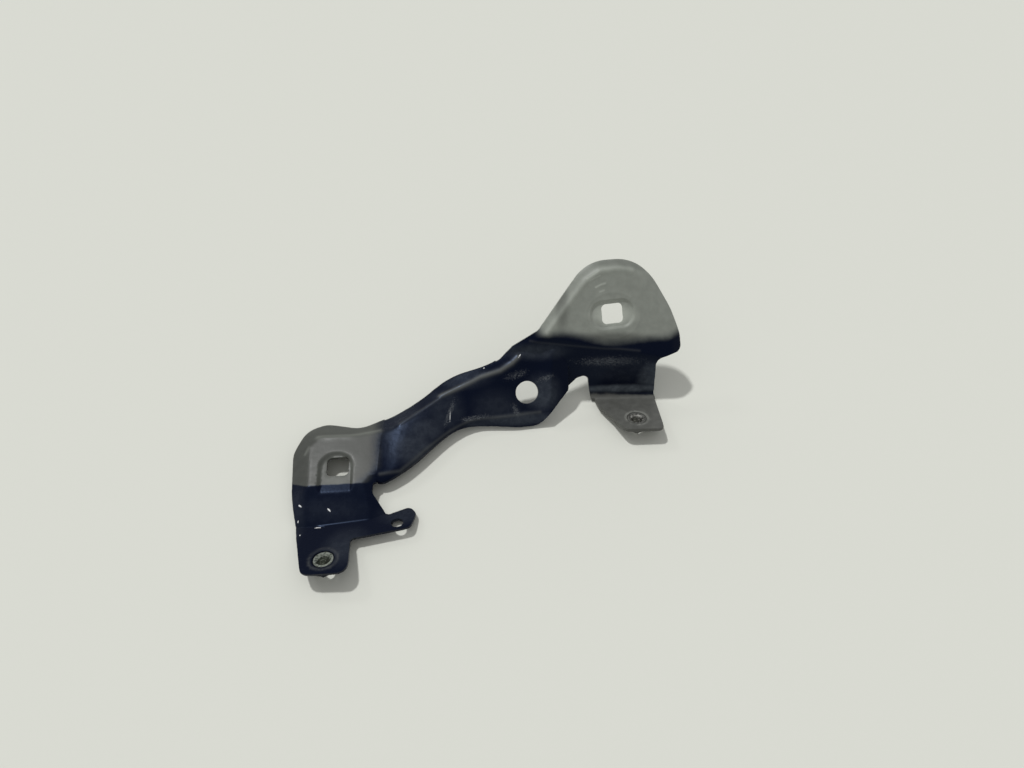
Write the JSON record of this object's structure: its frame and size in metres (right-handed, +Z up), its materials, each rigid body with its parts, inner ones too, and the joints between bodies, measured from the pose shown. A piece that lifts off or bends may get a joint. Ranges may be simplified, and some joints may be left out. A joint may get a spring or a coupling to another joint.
{
  "type": "fender bracket",
  "caption": "Stamped steel fender bracket: flat pad, curved flanged arm and dome pad, low tabs with weld nuts, navy-black paint.",
  "frame": {"origin": "centre of the bounding box on the floor that the bracket stands on", "axes": "+Z up, +X from the low pad towards the dome pad, +Y from the nut tabs towards the pads' far edges"},
  "size_m": [0.1864, 0.142, 0.0601],
  "materials": {
    "painted_steel": "gloss navy-black paint with grey-green primer on the pads",
    "zinc": "bright zinc plate"
  },
  "bodies": {
    "root": {"bracket_stamping": "painted_steel", "weld_nut_left": "zinc", "weld_nut_right": "painted_steel"}
  },
  "joints": []
}
